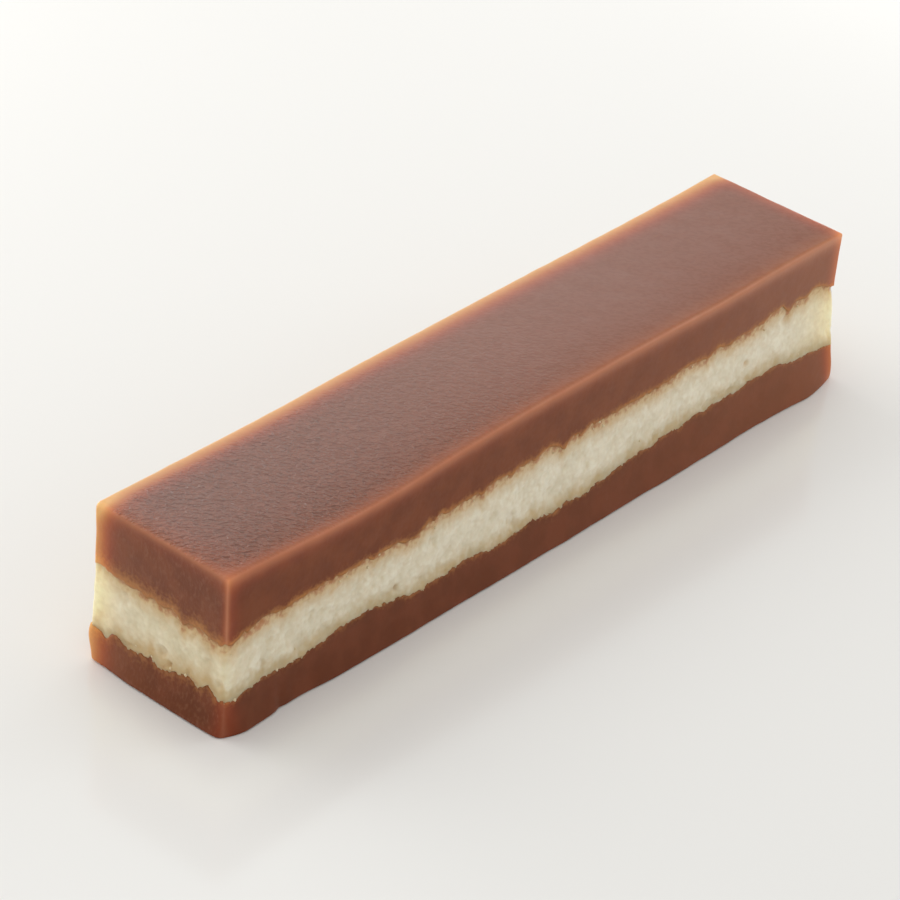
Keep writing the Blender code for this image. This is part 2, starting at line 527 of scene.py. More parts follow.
LOWER_JOINT = JointLine(
    level=5.65 * MM,
    broad=swells(
        (-65.5, 2.2, -0.5), (-42, 10.5, 1.4), (-29.5, 2.5, -0.5), (9.5, 4.5, -0.75), (39, 25, 2.1),
        (51, 6, 0.9),
    ),
    front=swells(
        (-64, 0.9, 0.4), (-59.5, 3.4, 0.65), (-52, 1.2, -0.3), (-48, 1.2, -0.3), (-38.5, 1.6, 0.5),
        (-33, 1.4, 0.3), (-28, 0.9, 0.3), (-19, 2.2, 0.4), (-12, 1.1, -0.2), (-10, 0.7, -0.4),
        (-3.8, 1.2, 0.7), (1, 1.6, -0.8), (10, 1.1, 0.5), (23, 1.5, -0.45), (30, 0.9, -0.6),
        (36, 0.9, -0.4), (40, 0.9, -0.1), (42, 0.8, 0.4), (43, 1.6, -0.4), (50, 1.2, -0.4),
        (54, 0.8, 0.4), (61, 1.6, 0.5),
    ),
    end=swells(
        (-12, 0.8, 0.6), (-9.6, 1.1, 1.7), (-5.5, 2.4, 1.1), (-6.8, 1.0, 0.5), (1, 0.6, 1.2),
        (3.2, 0.8, 0.4), (7.4, 1.2, 0.7), (9.2, 0.8, -0.45), (11.5, 1.4, -0.1),
    ),
    lump_rise=-0.6 * MM,
    seed=2.1,
    teeth=((1.3 * MM, 0.38 * MM), (0.55 * MM, 0.2 * MM)),
)


@dataclass(frozen=True)
class Lattice:
    """A box lattice whose outer walls are cut finely, which a layer is bent from.

    Attributes:
        coarse: Cells along X, Y and Z in the hidden caps.
        fine: How many cells each coarse one is cut into on the walls.
        skin_on_top: True if the upper cap shows and is cut finely too.
        hemmed: True if both caps are cut finely in one row of cells along the walls.
        rim_cells: How many fine cells go over a rounded edge.
    """

    coarse: tuple[int, int, int]
    fine: int
    skin_on_top: bool = False
    hemmed: bool = False
    rim_cells: int = 3

    def build(self) -> bmesh.types.BMesh:
        """Make the lattice.

        Returns:
            A unit cube around the origin, cut into its cells.
        """
        mesh = bmesh.new()
        bmesh.ops.create_cube(mesh, size=1.0)
        for axis, count in enumerate(self.coarse):
            along = [edge for edge in mesh.edges if self.span(edge, axis) > 0.5]
            bmesh.ops.subdivide_edges(mesh, edges=along, cuts=count - 1, use_grid_fill=True)
        shown = [edge for edge in mesh.edges if self.shows(edge)]
        bmesh.ops.subdivide_edges(mesh, edges=shown, cuts=self.fine - 1, use_grid_fill=True)
        return mesh

    def shows(self, edge: bmesh.types.BMEdge) -> bool:
        """Whether an edge lies where the cube is cut finely.

        Args:
            edge: An edge of the coarse lattice.

        Returns:
            True on a wall, on the hem of a hemmed lattice and on an upper cap that shows.
        """
        first, second = (vert.co for vert in edge.verts)
        walls = any(
            abs(first[axis]) > ON_WALL and abs(first[axis] - second[axis]) < LEVEL
            for axis in (0, 1)
        )
        hem = self.hemmed and any(
            min(abs(first[axis]), abs(second[axis])) > ON_WALL - 1 / self.coarse[axis]
            for axis in (0, 1)
        )
        return walls or hem or (self.skin_on_top and min(first.z, second.z) > ON_WALL)

    @staticmethod
    def span(edge: bmesh.types.BMEdge, axis: int) -> float:
        """How far an edge reaches along an axis."""
        return abs(edge.verts[0].co[axis] - edge.verts[1].co[axis])

    def place(self, share: float, axis: int, span: float, radius: float) -> float:
        """Where a lattice coordinate stands across a span, with narrow cells over rounded edges.

        Args:
            share: The coordinate in the unit cube, from -0.5 to 0.5.
            axis: Which axis it is on.
            span: The length to spread the cells over.
            radius: The radius of the rounded edges.

        Returns:
            The place, from minus half the span to plus half.
        """
        cells = self.coarse[axis] * self.fine / 2
        step = min(abs(share) * 2 * cells, cells)
        inner = cells - self.rim_cells
        if step <= inner:
            size = (span / 2 - radius) * step / inner
        else:
            size = span / 2 - radius * (cells - step) / self.rim_cells
        return math.copysign(size, share)


class Kind(Enum):
    """The kinds of node in the finishes: type, inputs in order, output and settings.

    A Mix node has its inputs and outputs once for each type of data, so they go by number.
    """

    OWN_PLACE = ("TexCoord", (), "Object", {})
    MASK = ("Attribute", (), "Fac", {})
    LENGTHWAYS = ("SeparateXYZ", ("Vector",), "X", {})
    TURN = ("Mapping", ("Vector", "Rotation", "Scale"), "Vector", {})
    CLOUDS = ("TexNoise", ("Vector", "Scale", "Detail", "Distortion"), "Fac", {})
    RAMP = (
        "MapRange",
        ("Value", "From Min", "From Max", "To Min", "To Max"),
        "Result",
        {"interpolation_type": "SMOOTHSTEP"},
    )
    BETWEEN = ("Mix", (0, 2, 3), 0, {"data_type": "FLOAT"})
    BLEND = ("Mix", (0, 6, 7), 2, {"data_type": "RGBA"})
    LIGHT = ("Mix", (0, 6, 7), 2, {"data_type": "RGBA", "blend_type": "ADD", "clamp_result": True})
    PRODUCT = ("Math", (0, 1), 0, {"operation": "MULTIPLY"})
    SUM = ("Math", (0, 1), 0, {"operation": "ADD"})
    POWER = ("Math", (0, 1), 0, {"operation": "POWER"})
    COLOUR = ("CombineColor", (0, 1, 2), 0, {})
    BUMP = ("Bump", ("Height", "Strength", "Distance"), "Normal", {})


class Work:
    """A Principled material in the making, and the one way to add nodes to it.

    Attributes:
        material: The material.
        tree: Its nodes.
        shader: Its Principled shader.
        place: The Object coordinates, which patterns are laid out in.
        masks: The piece's own attributes.
    """

    def __init__(self, name: str, masks: tuple[str, ...] = ()) -> None:
        """Start the material.

        Args:
            name: The real material and how it was made.
            masks: The attributes that it reads.
        """
        self.material = bpy.data.materials.new(name)
        self.material.use_nodes = True
        self.tree = self.material.node_tree
        self.shader = self.tree.nodes["Principled BSDF"]
        self.place = self.add(Kind.OWN_PLACE)
        self.masks = {mask: self.add(Kind.MASK, attribute_name=mask) for mask in masks}

    def add(self, kind: Kind, *values: Source, **settings: object) -> Socket:
        """Add a node with its settings and links.

        Args:
            kind: What it is and does.
            values: The output to link or the value to set for each of its inputs.
            settings: Properties besides those of its kind.

        Returns:
            The node's output.
        """
        name, inputs, output, usual = kind.value
        node = self.tree.nodes.new("ShaderNode" + name)
        for key, value in (usual | settings).items():
            setattr(node, key, value)
        self.fill(node, dict(zip(inputs, values)))
        return node.outputs[output]

    def fill(self, node: bpy.types.Node, inputs: dict[str | int, Source]) -> None:
        """Link each input that is given an output, and set each other one on its own socket.

        Args:
            node: The node.
            inputs: The output or value for each input.
        """
        for key, value in inputs.items():
            if isinstance(value, Socket):
                self.tree.links.new(value, node.inputs[key])
            else:
                node.inputs[key].default_value = value

    def mottling(self, wave_length: float, detail: float, *limits: float) -> Socket:
        """A cloudy pattern whose waves have a real length in the piece's own space.

        Args:
            wave_length: How long its waves are.
            detail: How many times finer waves are laid over them.
            limits: The least and the most noise, then what each comes to, 0 and 1 unless given.

        Returns:
            The pattern.
        """
        cloud = self.add(Kind.CLOUDS, self.place, 1 / wave_length, detail)
        return self.add(Kind.RAMP, cloud, *limits)


@dataclass(frozen=True)
class BrownUiro:
    """Brown steamed rice cake: a satin steamed skin on top and cleanly knifed sides.

    Its edges are thin enough for light to come through, so they are lighter and more orange: that
    light is painted into the colour as a glow, and the rounded edges carry a painted pale
    highlight. The skin has dried in fine wrinkles, which break the light up into small glints;
    their hollows are painted a little darker as painted shade. The cut sides are painted lighter
    toward the right end, and the ends toward the back, as painted light.

    Attributes:
        glow: How much of each colour of the painted glow is added at a fully lit edge.
        glow_powers: How fast each colour dies away from the edge: red goes furthest, blue least.
        roughness: The least and the most that the surface's roughness is.
        skin_smoothing: How much less rough the steamed skin is.
        fray: How far the band of stain and painted glow along the seam is broken up.
        stain_most: How much of that band's colour shows at the seam.
        streak_most: How much of the knife's streaks shows on a cut end.
        mark_turn: How the knife's marks slant there.
        mark_shape: How they are drawn out.
        mark_strength: How strong they are on the long sides and on the ends.
        wrinkle_turn: The way that the skin's wrinkles run.
        wrinkle_size: How long and how wide they are.
        wrinkle_span: Where along the bar they begin and end to die away.
        wrinkle_strength: How strong they are before and after that.
    """

    body: str = "#7F4528"
    body_dark: str = "#753E24"
    # The lighter colour that painted light blends the cut sides toward.
    body_painted_lit: str = "#A57058"
    streak: str = "#8B5940"
    skin: str = "#8C5A47"
    # The colour of the wrinkles' hollows, which are painted darker as painted shade.
    skin_painted_shade: str = "#86533F"
    # The colour of the band along the seam: stain, and painted glow of the crumb's light in the
    # brown.
    joint: str = "#BA7E48"
    # The colour of the painted pale highlight on the rounded edges.
    rim: str = "#CC9268"
    glow: tuple[float, float, float] = (0.85, 0.95, 0.42)
    glow_powers: tuple[float, float, float] = (0.92, 2.0, 2.6)
    mottle_length: float = 4.0 * MM
    speckle_length: float = 0.8 * MM
    roughness: tuple[float, float] = (0.42, 0.52)
    skin_smoothing: float = 0.08
    fray_length: float = 0.6 * MM
    fray: float = 0.13
    stain_most: float = 0.85
    streak_most: float = 0.55
    mark_length: float = 0.5 * MM
    mark_turn: float = -0.7
    mark_shape: tuple[float, float, float] = (1.0, 1.0, 0.55)
    mark_strength: tuple[float, float] = (0.02, 0.09)
    wrinkle_turn: float = -0.89
    wrinkle_size: tuple[float, float, float] = (0.92 * MM, 0.62 * MM, 0.8 * MM)
    wrinkle_span: tuple[float, float] = (-62.0 * MM, 30.0 * MM)
    wrinkle_strength: tuple[float, float] = (1.4, 0.03)
    relief_depth: float = 1.05 * MM
    name: str = "steamed brown rice cake"

    def build(self) -> bpy.types.Material:
        """Make the material.

        Returns:
            The material, which reads the brown layers' masks.
        """
        work = Work(self.name, BROWN_MASKS)
        mask, wrinkles, marks = work.masks, self.wrinkles(work), self.knife_marks(work)
        mottle = work.mottling(self.mottle_length, 3.0, 0.35, 0.65)
        cut = work.add(Kind.BLEND, mottle, linear(self.body_dark), linear(self.body))
        # Painted light: the cut sides are lighter toward the right end, and the ends toward the
        # back.
        cut = work.add(Kind.BLEND, mask["painted_light"], cut, linear(self.body_painted_lit))
        scored = work.add(Kind.RAMP, marks, 0.45, 0.8, 0.0, self.streak_most)
        scored = work.add(Kind.PRODUCT, scored, mask["end"])
        cut = work.add(Kind.BLEND, scored, cut, linear(self.streak))
        # The wrinkles' hollows are painted darker, as painted shade.
        ridges = work.add(Kind.RAMP, wrinkles, 0.35, 0.6)
        steamed = work.add(Kind.BLEND, ridges, linear(self.skin_painted_shade), linear(self.skin))
        colour = work.add(Kind.BLEND, mask["skin"], cut, steamed)
        # Painted pale highlight along the rounded edges.
        colour = work.add(Kind.BLEND, mask["rim"], colour, linear(self.rim))
        fray = work.mottling(self.fray_length, 2.0, *NOISE_RANGE, -self.fray, self.fray)
        frayed = work.add(Kind.SUM, mask["joint"], fray)
        stained = work.add(Kind.RAMP, frayed, 0.15, 1.0, 0.0, self.stain_most)
        # The seam band: partly stain, partly painted glow of the crumb's light in the brown.
        colour = work.add(Kind.BLEND, stained, colour, linear(self.joint))
        speckle = work.mottling(self.speckle_length, 3.0, *NOISE_RANGE, *self.roughness)
        smoother = work.add(Kind.PRODUCT, mask["skin"], -self.skin_smoothing)
        inputs = {
            # The painted glow near the edges is added to the base colour here.
            "Base Color": work.add(Kind.LIGHT, 1.0, colour, self.shining(work)),
            "Roughness": work.add(Kind.SUM, speckle, smoother),
            "Normal": self.relief(work, wrinkles, marks),
            "Coat Weight": mask["sheen"],
            "Coat Roughness": 0.28,
            "Coat IOR": 1.7,
            "IOR": 1.45,
            "Specular IOR Level": 0.2,
            "Subsurface Weight": 0.35,
            "Subsurface Radius": (1.0, 0.42, 0.24),
            "Subsurface Scale": 2.2 * MM,
        }
        work.fill(work.shader, inputs)
        return work.material

    def shining(self, work: Work) -> Socket:
        """The painted glow near the edges, added to the colour for light that comes out there,
        which is orange because red goes furthest.

        Args:
            work: The material in the making.

        Returns:
            Its colour.
        """
        parts = [
            work.add(Kind.PRODUCT, work.add(Kind.POWER, work.masks["glow"], power), most)
            for most, power in zip(self.glow, self.glow_powers)
        ]
        return work.add(Kind.COLOUR, *parts)

    def wrinkles(self, work: Work) -> Socket:
        """Fine wrinkles that run one way over the skin.

        Args:
            work: The material in the making.

        Returns:
            Their height.
        """
        turn = (0.0, 0.0, self.wrinkle_turn)
        turned = work.add(Kind.TURN, work.place, turn, self.wrinkle_size, vector_type="TEXTURE")
        return work.add(Kind.CLOUDS, turned, 1.0, 1.5, 0.4)

    def knife_marks(self, work: Work) -> Socket:
        """Short slanting streaks that the knife leaves on a cut end."""
        slant = work.add(Kind.TURN, work.place, (self.mark_turn, 0.0, 0.0), self.mark_shape)
        return work.add(Kind.CLOUDS, slant, 1 / self.mark_length, 2.0)

    def relief(self, work: Work, wrinkles: Socket, marks: Socket) -> Socket:
        """Wrinkle the skin and score the cut sides with faint knife marks, most of all the ends.

        Args:
            work: The material in the making.
            wrinkles: The height of the wrinkles.
            marks: The height of the knife marks.

        Returns:
            The way that the surface faces.
        """
        mask = work.masks
        along = work.add(Kind.LENGTHWAYS, work.place)
        strong = work.add(Kind.RAMP, along, *self.wrinkle_span, *self.wrinkle_strength)
        glossy = work.add(Kind.RAMP, mask["sheen"], 0.0, 0.3)
        strong = work.add(Kind.PRODUCT, strong, glossy)
        unlit = work.add(Kind.RAMP, mask["glow"], 0.1, 0.4, 1.0, 0.0)
        strong = work.add(Kind.PRODUCT, strong, unlit)
        high = work.add(Kind.BETWEEN, mask["skin"], marks, wrinkles)
        scored = work.add(Kind.BETWEEN, mask["end"], *self.mark_strength)
        depth = work.add(
            Kind.BETWEEN, work.add(Kind.RAMP, mask["skin"], 0.6, 1.0), scored, strong
        )
        return work.add(Kind.BUMP, high, depth, self.relief_depth)


@dataclass(frozen=True)
class PaleCrumb:
    """Moist sieved crumb, cream white and matt, stained tan where syrup has soaked into it.

    Attributes:
        fray: How far the stain's border is broken up.
        painted_shade_most: How much of the painted shade's colour shows in the deepest hollows.
        roughness: The least and the most that the surface's roughness is.
        glow: How much light passes through the crumb.
    """

    crumb: str = "#F5ECD6"
    shade: str = "#EEE3CB"
    # The colour of the painted shade in the hollows, on the ends and over the lower seam.
    painted_shade: str = "#BBAE88"
    # The colour of the painted glow at the ends and the left back corner.
    painted_glow: str = "#FFEEC0"
    stain: str = "#B5784C"
    fringe: str = "#CDA46C"
    mottle_length: float = 1.4 * MM
    fray_length: float = 0.9 * MM
    fray: float = 0.18
    painted_shade_most: float = 0.75
    dry_length: float = 0.7 * MM
    roughness: tuple[float, float] = (0.7, 0.9)
    grain_length: float = 0.45 * MM
    grain_depth: float = 0.12 * MM
    grain_strength: float = 0.35
    glow: float = 0.6
    name: str = "moist sieved crumb"

    def build(self) -> bpy.types.Material:
        """Make the material.

        Returns:
            The material, which reads the crumb's masks.
        """
        work = Work(self.name, CRUMB_MASKS)
        mask = work.masks
        mottle = work.mottling(self.mottle_length, 4.0, 0.38, 0.62)
        colour = work.add(Kind.BLEND, mottle, linear(self.shade), linear(self.crumb))
        # Painted glow at the ends and the left back corner.
        colour = work.add(Kind.BLEND, mask["painted_glow"], colour, linear(self.painted_glow))
        # Painted shade in the hollows, on the ends and over the lower seam.
        sunken = work.add(Kind.PRODUCT, mask["painted_shade"], self.painted_shade_most)
        colour = work.add(Kind.BLEND, sunken, colour, linear(self.painted_shade))
        fray = work.mottling(self.fray_length, 3.0, *NOISE_RANGE, -self.fray, self.fray)
        frayed = work.add(Kind.SUM, mask["stain"], fray)
        deep = work.add(Kind.RAMP, frayed, 0.6, 1.0)
        soaked = work.add(Kind.BLEND, deep, linear(self.fringe), linear(self.stain))
        border = work.add(Kind.BETWEEN, 0.5, mask["stain"], frayed)
        grain = work.add(Kind.CLOUDS, work.place, 1 / self.grain_length, 3.0)
        inputs = {
            "Base Color": work.add(Kind.BLEND, border, colour, soaked),
            "Roughness": work.mottling(self.dry_length, 3.0, *NOISE_RANGE, *self.roughness),
            "Normal": work.add(Kind.BUMP, grain, self.grain_strength, self.grain_depth),
            "Specular IOR Level": 0.25,
            "Subsurface Weight": self.glow,
            "Subsurface Radius": (1.0, 0.93, 0.8),
            "Subsurface Scale": 3.6 * MM,
        }
        work.fill(work.shader, inputs)
        return work.material


@dataclass(frozen=True)
class PaleBoard:
    """A smooth white laminate board, with the soft sheen that such a board has."""

    colour: str = "#F2F1EE"
    cloud_length: float = 300.0 * MM
    roughness: tuple[float, float] = (0.13, 0.15)

    def build(self) -> bpy.types.Material:
        """Make the material.

        Returns:
            The material.
        """
        work = Work("white laminate board")
        inputs = {
            "Base Color": linear(self.colour),
            "Roughness": work.mottling(self.cloud_length, 3.0, *NOISE_RANGE, *self.roughness),
            "Specular IOR Level": 0.5,
        }
        work.fill(work.shader, inputs)
        return work.material


@dataclass
class Layer:
    """One layer of the bar, bent from a lattice and riding on the bar's one body.

    Attributes:
        name: The piece's name.
        node: The CAD node that it stands for.
        slot: The record's slot for its finish; not used.
        lattice: What it is bent from.
        under: The seam under it, if it has one.
        over: The seam over it, if it has one.
        masks: The attributes that its finish reads.
        overlap: How far it runs on past its seams.
    """

    name: str
    node: str
    slot: Slot
    lattice: Lattice
    under: JointLine | None = None
    over: JointLine | None = None
    masks: tuple[str, ...] = ()
    overlap: float = 0.0
    form: BlockForm = BlockForm()

    def floor(self, x: float, y: float) -> float:
        """The height of its underside: past the seam under it, or the board."""
        return self.under.height(x, y) - self.overlap if self.under else 0.0

    def ceiling(self, x: float, y: float) -> float:
        """The height of its upper side: past the seam over it, or the block's top."""
        return self.over.height(x, y) + self.overlap if self.over else self.form.height

    def relief(self, point: Vector, out: Vector, gap: float) -> float:
        """How far the surface stands out of the smooth block."""
        raise NotImplementedError

    def dress(self, point: Vector, out: Vector) -> dict[str, float]:
        """The masks at a point of the square block."""
        raise NotImplementedError

    def level(self, share: float, floor: float, ceiling: float) -> float:
        """Where a lattice level stands between the layer's two sides."""
        return floor + (ceiling - floor) * (share + 0.5)

    def joint_gap(self, height: float, floor: float, ceiling: float) -> float:
        """How far a height is from the layer's nearest seam."""
        return min(height - floor, ceiling - height)

    def build(self, material: bpy.types.Material, offset: Vector) -> bpy.types.Object:
        """Bend the lattice into the layer and dress it.

        Args:
            material: The layer's finish.
            offset: What brings the block's outline over the origin.

        Returns:
            The finished piece, riding on the root body.
        """
        form = self.form
        mesh = self.lattice.build()
        layers = {mask: mesh.verts.layers.float.new(mask) for mask in self.masks}
        for vert in mesh.verts:
            x = self.lattice.place(vert.co.x, 0, form.length, form.edge_radius)
            y = self.lattice.place(vert.co.y, 1, form.width, form.edge_radius)
            floor, ceiling = self.floor(x, y), self.ceiling(x, y)
            point = Vector((x, y, self.level(vert.co.z, floor, ceiling)))
            turned, out = form.rounded(point)
            gap = self.joint_gap(point.z, floor, ceiling)
            vert.co = form.slumped(turned) + out * self.relief(point, out, gap) + offset
            vert.co.z = max(vert.co.z, 0.0)
            for mask, value in self.dress(point, out).items():
                vert[layers[mask]] = clamp(value)
        bmesh.ops.recalc_face_normals(mesh, faces=mesh.faces)
        piece = make_piece(self.name, mesh, material)
        piece.data.shade_smooth()
        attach(piece, "root")
        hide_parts(self.node)
        return piece


@dataclass
class BrownLayer(Layer):
    """A layer of brown rice cake, above or below the crumb.

    Attributes:
        look: How strongly its masks come out.
        skin_slope: How fast the steamed skin gives way to a cut side round the top edge.
        skin_start: Where on the edge it does so.
        turn_down: How far from the front edge the skin's sheen fades in.
        left_turn: The same at the left end, as a share of that.
        right_turn: The same at the right end, where only a part of the sheen is lost.
        right_dulling: That part.
        joint_reach: How far from the seam the stain and painted glow reach.
        end_stain: How much farther that goes on the ends.
        right_power: How late along the bar the painted light lightens the cut sides.
        back_power: How late across it the ends do.
        right_end_loss: How much less that is on the right end itself.
        pillow: How far the lower layer bulges at the back of its left end.
    """

    masks: tuple[str, ...] = BROWN_MASKS
    look: BrownLook = UPPER_LOOK
    skin_slope: float = 1.6
    skin_start: float = 0.5
    turn_down: float = 8.0 * MM
    left_turn: float = 0.22
    right_turn: float = 2.2
    right_dulling: float = 0.4
    joint_reach: float = 0.75 * MM
    end_stain: float = 1.2
    right_power: float = 2.5
    back_power: int = 3
    right_end_loss: float = 0.4
    dimple: float = 0.05 * MM
    dimple_length: float = 3.2 * MM
    pillow: float = 0.45 * MM
    pillow_height: float = 4.2 * MM
    pillow_size: float = 2.2 * MM
    pillow_reach: float = 3.5 * MM
    top_reach: float = 0.9 * MM
    corner_reach: float = 0.5 * MM

    @property
    def upper(self) -> bool:
        """Whether it lies over the crumb."""
        return self.over is None

    def level(self, share: float, floor: float, ceiling: float) -> float:
        """Where a lattice level stands, with narrow cells over the rounded edge.

        Args:
            share: The level in the unit cube, from -0.5 to 0.5.
            floor: The height of the layer's underside.
            ceiling: The height of its upper side.

        Returns:
            The height.
        """
        cells = self.lattice.coarse[2] * self.lattice.fine
        radius = self.form.top_radius if self.upper else self.form.foot_radius
        step = (0.5 - share if self.upper else share + 0.5) * cells
        rim = self.lattice.rim_cells
        if step <= rim:
            size = radius * step / rim
        else:
            size = radius + (ceiling - floor - radius) * (step - rim) / (cells - rim)
        return ceiling - size if self.upper else floor + size

    def joint_gap(self, height: float, floor: float, ceiling: float) -> float:
        """How far a height is from the seam with the crumb."""
        return height - floor if self.upper else ceiling - height

    def relief(self, point: Vector, out: Vector, gap: float) -> float:
        """Shallow dimples, and a lower corner that bulges at the back left.

        Args:
            point: A point of the square block.
            out: The outward direction there.
            gap: How far it is from the seam.

        Returns:
            How far the surface stands out.
        """
        gaps = self.form.gaps(point)
        corner = 0.0 if self.upper else fade(gaps["left"] + gaps["back"], self.pillow_reach)
        bulge = self.pillow * corner * bell(point.z - self.pillow_height, self.pillow_size)
        return self.dimple * rough(point, self.dimple_length, Seed.DIMPLES) + bulge

    def dress(self, point: Vector, out: Vector) -> dict[str, float]:
        """Painted glow and painted pale highlights along the outer edges, painted light toward the
        right end and the back of the ends, stain and painted glow along the seam, and the steamed
        skin on top.

        Args:
            point: A point of the square block.
            out: The outward direction there.

        Returns:
            The value of each mask.
        """
        form, look = self.form, self.look
        seam = (self.under or self.over).smooth_height(point.x, point.y)
        gap = max(point.z - seam if self.upper else seam - point.z, 0.0)
        skin = clamp(out.z * self.skin_slope - self.skin_start) if self.upper else 0.0
        gaps = form.gaps(point)
        along, across = point.x / form.length + 0.5, point.y / form.width + 0.5
        # Painted light toward the back of the ends and toward the right end.
        back_light = look.back_painted_light * out.x**2 * clamp(across) ** self.back_power
        right_light = look.right_painted_light * clamp(along) ** self.right_power
        right_light *= 1 - self.right_end_loss * clamp(out.x)
        stain_reach = self.joint_reach * (1 + self.end_stain * out.x**2)
        return {
            # glow is painted light near the outer edges.
            "glow": min(1 - math.prod(1 - glow.at(gaps) for glow in look.glows), look.glow_most),
            # rim is a painted pale highlight on the rounded edges.
            "rim": 1 - math.prod(1 - rim.at(gaps) for rim in look.rim_highlights),
            # The seam band is partly stain and partly painted glow.
            "joint": look.seam_most * fade(gap, stain_reach),
            "skin": skin,
            "end": out.x**2,
            "sheen": self.sheen(gaps, skin, out),
            # The cut sides' painted light.
            "painted_light": (right_light + back_light) * (1 - skin),
        }

    def sheen(self, gaps: dict[str, float], skin: float, out: Vector) -> float:
        """How glossy it is: most on the steamed skin, less where that turns down to an edge.

        Args:
            gaps: How far the point is from each outer face.
            skin: The share of steamed skin there.
            out: The outward direction there.

        Returns:
            The weight of the clear coat.
        """
        look, reach = self.look, self.turn_down
        from_front = 1 - fade(gaps["front"], reach)
        from_left = 1 - fade(gaps["left"], self.left_turn * reach)
        from_right = 1 - self.right_dulling * fade(gaps["right"], self.right_turn * reach)
        arris = look.top_sheen * fade(gaps["top"], self.top_reach)
        corner = look.corner_sheen * fade(gaps["front"] + gaps["left"], self.corner_reach)
        walls = max(arris, corner, look.end_sheen * out.x**2)
        return skin * from_front * from_left * from_right + (1 - skin) * walls


@dataclass(frozen=True)
class CrumbLook:
    """How the crumb is stained, lit with painted glow and darkened with painted shade.

    Attributes:
        upper_stain: How strongly syrup has stained it under the upper layer.
        lower_stain: How strongly it is stained over the lower layer.
        end_stain: How much more that is on the ends.
        end_stain_reach: How much farther it goes there.
        pit_darkening: How far the pits are darkened toward the stain's colour.
        patches: The mean and the least of the lower stain's patches.
        flecks: How far flecks break it up.
        corner_loss: How much of every stain is lost at the left back corner, where painted glow
            lightens the crumb.
        right_painted_glow: How much painted glow lightens and warms the crumb at the right end.
        right_end_loss: How much of that is lost over the end itself, away from the front.
        left_painted_glow: How much painted glow lightens and warms it at the left end.
        side_shade: How deep the painted shade in the hollows of the sides is.
        end_shade: How much deeper the painted shade is on the ends.
        near_shade: How much deeper the painted shade is at the left end of the sides.
        seam_shade: How much deeper the painted shade is over the lower seam.
        fleck_shade: How far flecks break that up.
    """

    upper_stain: float = 0.88
    upper_stain_reach: float = 2.2 * MM
    lower_stain: float = 0.5
    lower_stain_reach: float = 1.9 * MM
    end_stain: float = 0.35
    end_stain_reach: float = 0.25
    pit_darkening: float = 0.5
    patches: tuple[float, float] = (0.9, 0.7)
    patch_length: float = 5.0 * MM
    flecks: float = 0.35
    fleck_length: float = 1.3 * MM
    corner_loss: float = 0.35
    corner_reach: float = 5.5 * MM
    right_painted_glow: float = 0.8
    right_reach: float = 7.0 * MM
    right_end_loss: float = 0.65
    right_front_reach: float = 3.0 * MM
    left_painted_glow: float = 0.3
    left_reach: float = 3.0 * MM
    side_shade: float = 0.16
    end_shade: float = 0.27
    near_shade: float = 0.2
    near_power: int = 3
    seam_shade: float = 0.8
    seam_shade_reach: float = 1.75 * MM
    fleck_shade: float = 0.45


